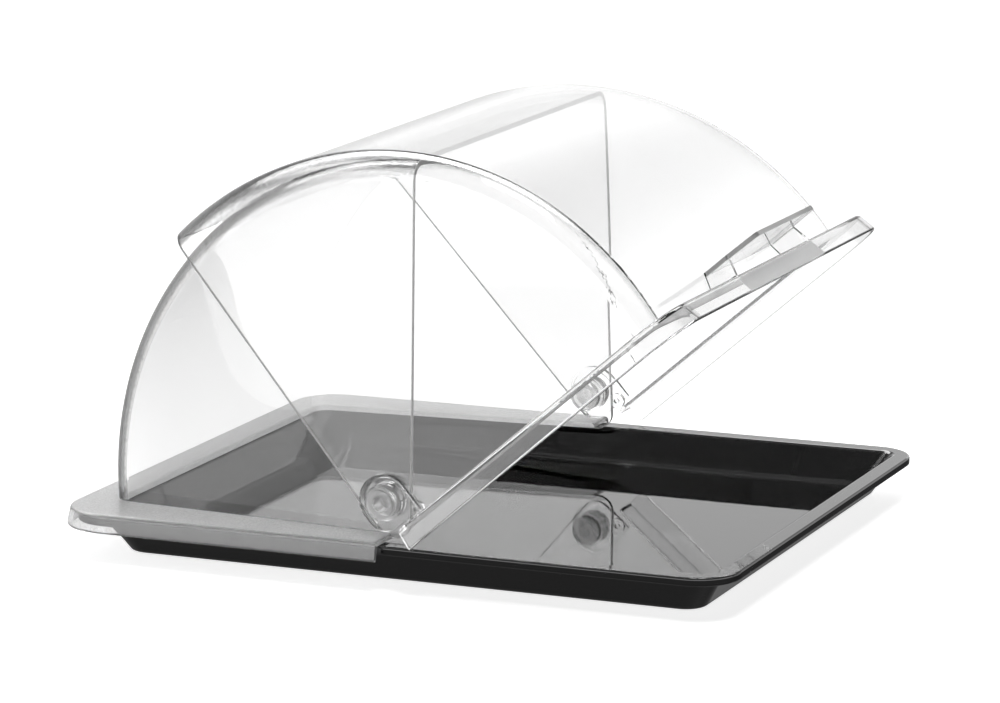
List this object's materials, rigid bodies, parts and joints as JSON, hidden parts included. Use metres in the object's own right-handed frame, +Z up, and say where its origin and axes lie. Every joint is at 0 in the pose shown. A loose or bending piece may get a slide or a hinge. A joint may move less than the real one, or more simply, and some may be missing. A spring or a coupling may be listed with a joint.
{
  "type": "roll-top display case",
  "caption": "Tabletop food case: shallow black tray under a clear fixed rear hood and a clear front hood that rolls back over it about its side pivots.",
  "frame": {"origin": "below the middle of the tray's rim, on the surface that the case stands on", "axes": "+X to the opening side, +Y to the left of someone who looks out of the opening, +Z up"},
  "size_m": [0.3303, 0.2762, 0.1937],
  "materials": {
    "tray_black": "polished black melamine",
    "hood_clear": "clear polished moulding with a frosted flange",
    "pivot_clear": "clear polished moulding"
  },
  "bodies": {
    "tray": {"tray": "tray_black"},
    "rear_hood": {"rear_hood": "hood_clear", "pivot_stud_left": "pivot_clear", "pivot_stud_right": "pivot_clear", "pivot_cap_left": "pivot_clear", "pivot_cap_right": "pivot_clear"},
    "front_hood": {"front_hood": "hood_clear"}
  },
  "joints": [
    {"name": "hood_lift", "type": "slide", "parent": "tray", "child": "rear_hood", "axis": [0, 0, 1], "range_m": [0, 0.06]},
    {"name": "front_hood_roll", "type": "hinge", "parent": "rear_hood", "child": "front_hood", "pos_m": [-0.0045, 0, 0.0374], "axis": [0, -1, 0], "range_deg": [-40.42, 49.58]}
  ]
}
